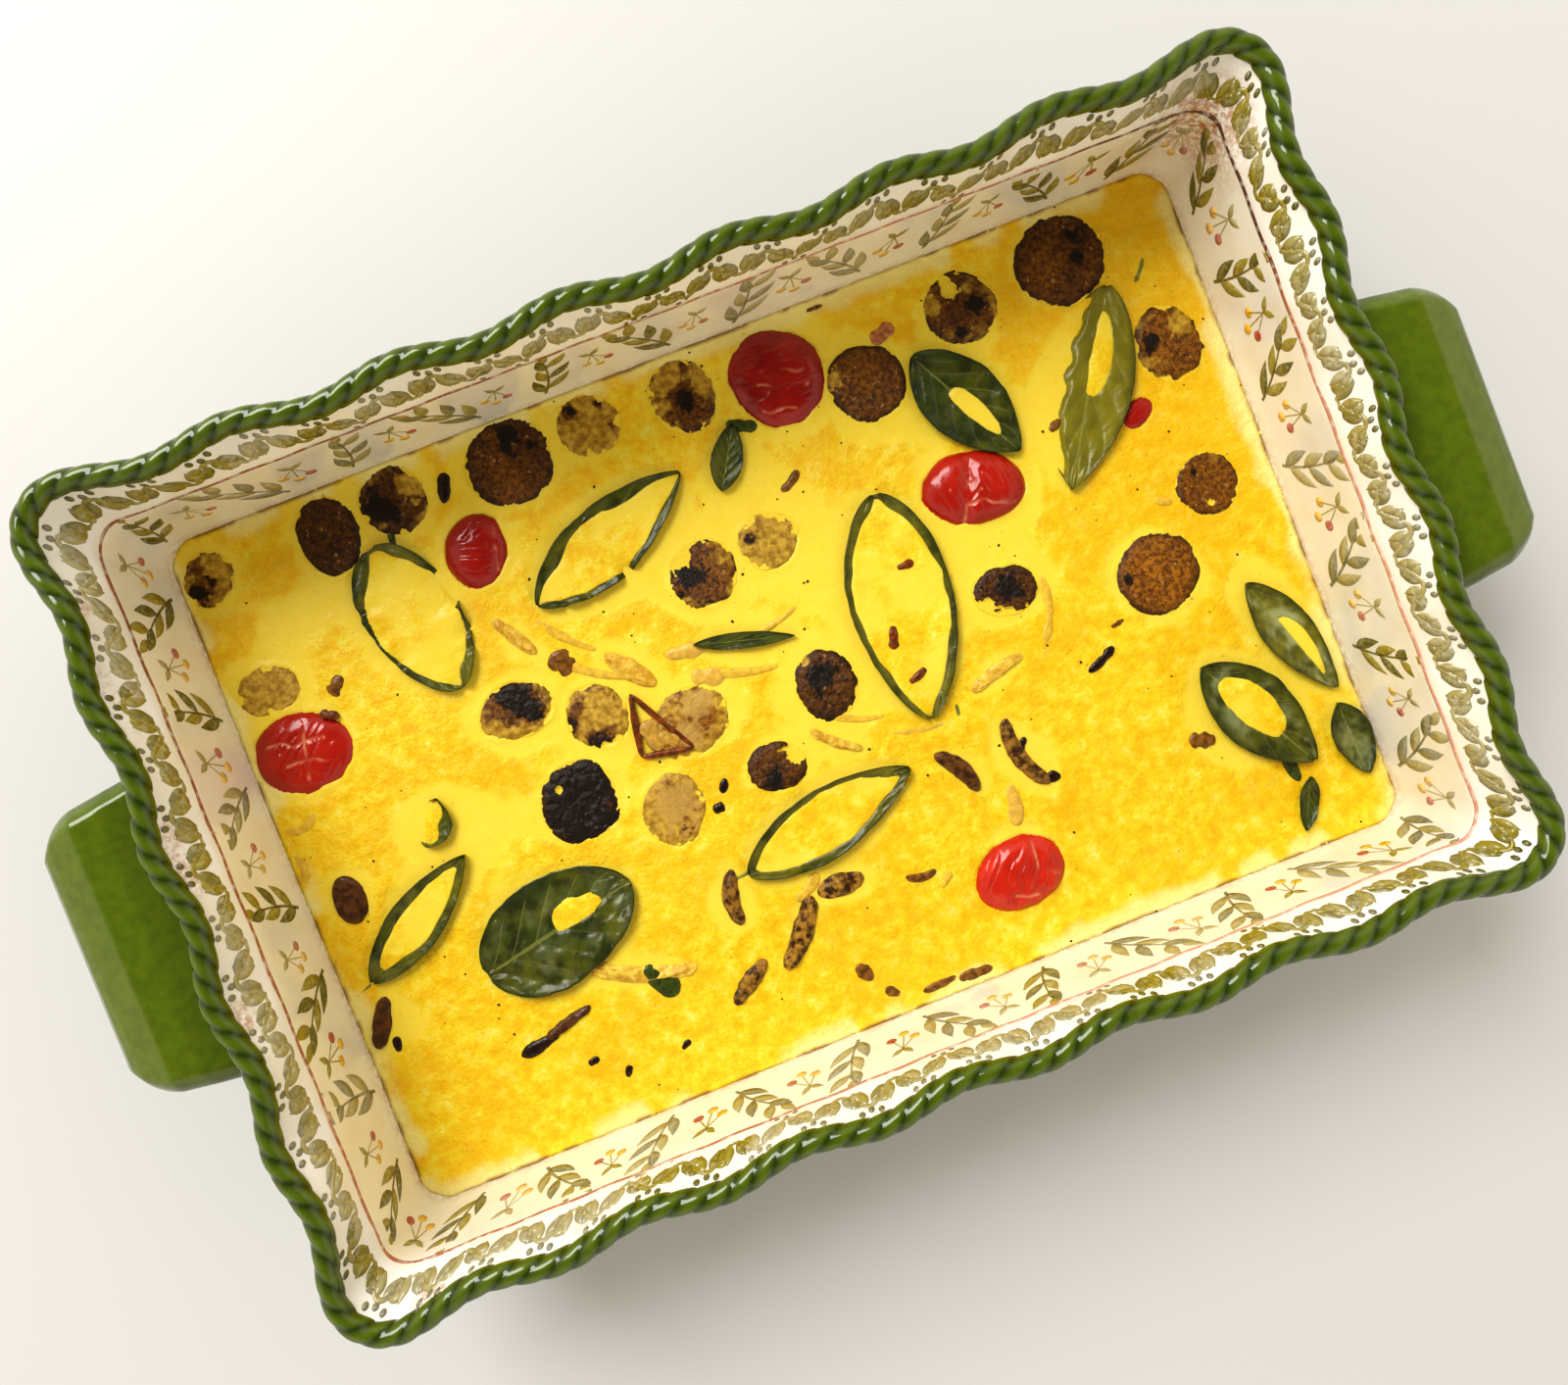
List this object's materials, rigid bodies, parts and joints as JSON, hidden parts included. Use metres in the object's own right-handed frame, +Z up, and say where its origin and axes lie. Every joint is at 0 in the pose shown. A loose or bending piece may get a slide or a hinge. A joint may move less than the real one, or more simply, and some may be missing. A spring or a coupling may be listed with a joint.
{
  "type": "baked egg casserole in a baking dish",
  "caption": "Deep rectangular stoneware baking dish with a twisted-rope rim and lug handles, holding a shallow baked egg set with browned sausage slices, tomatoes and basil leaves.",
  "frame": {"origin": "under the middle of the dish, on the surface it stands on", "axes": "+X along the dish from handle to handle, +Y across it, +Z up"},
  "size_m": [0.4284, 0.2504, 0.0771],
  "materials": {
    "glazed_stoneware": "gloss green glaze on rope, handles and outside, cream glaze inside with a painted border",
    "baked_egg": "moist satin baked egg, golden to bright yellow with cream patches",
    "browned_sausage": "browned, speckled, slightly greasy cut slice",
    "tomato_skin": "wet glossy wrinkled skin",
    "basil_leaf": "wilted glossy leaf",
    "browned_mushroom": "browned and moist",
    "soft_onion": "soft, half clear, browned at the edges"
  },
  "bodies": {
    "root": {"baking_dish": "glazed_stoneware", "baked_egg": "baked_egg", "sausage_slice_1": "browned_sausage", "sausage_slice_2": "browned_sausage", "sausage_slice_3": "browned_sausage", "sausage_slice_4": "browned_sausage", "sausage_slice_5": "browned_sausage", "sausage_slice_6": "browned_sausage", "sausage_slice_7": "browned_sausage", "sausage_slice_8": "browned_sausage", "sausage_slice_9": "browned_sausage", "sausage_slice_10": "browned_sausage", "sausage_slice_11": "browned_sausage", "sausage_slice_12": "browned_sausage", "sausage_slice_13": "browned_sausage", "sausage_slice_14": "browned_sausage", "sausage_slice_15": "browned_sausage", "sausage_slice_16": "browned_sausage", "sausage_slice_17": "browned_sausage", "sausage_slice_18": "browned_sausage", "sausage_slice_19": "browned_sausage", "sausage_slice_20": "browned_sausage", "sausage_slice_21": "browned_sausage", "sausage_slice_22": "browned_sausage", "sausage_slice_23": "browned_sausage", "tomato_1": "tomato_skin", "tomato_2": "tomato_skin", "tomato_3": "tomato_skin", "tomato_4": "tomato_skin", "tomato_5": "tomato_skin", "tomato_6": "tomato_skin", "basil_leaf_1": "basil_leaf", "basil_leaf_2": "basil_leaf", "basil_leaf_3": "basil_leaf", "basil_leaf_4": "basil_leaf", "basil_leaf_5": "basil_leaf", "basil_leaf_6": "basil_leaf", "basil_leaf_7": "basil_leaf", "basil_leaf_8": "basil_leaf", "basil_leaf_9": "basil_leaf", "basil_leaf_10": "basil_leaf", "basil_leaf_11": "basil_leaf", "basil_leaf_12": "basil_leaf", "basil_leaf_13": "basil_leaf", "basil_leaf_14": "basil_leaf", "basil_leaf_15": "basil_leaf", "mushroom_1": "browned_mushroom", "mushroom_2": "browned_mushroom", "mushroom_3": "browned_mushroom", "mushroom_4": "browned_mushroom", "mushroom_5": "browned_mushroom", "mushroom_6": "browned_mushroom", "mushroom_7": "browned_mushroom", "mushroom_8": "browned_mushroom", "mushroom_9": "browned_mushroom", "onion_1": "soft_onion", "onion_2": "soft_onion", "onion_3": "soft_onion", "onion_4": "soft_onion", "onion_5": "soft_onion"}
  },
  "joints": []
}
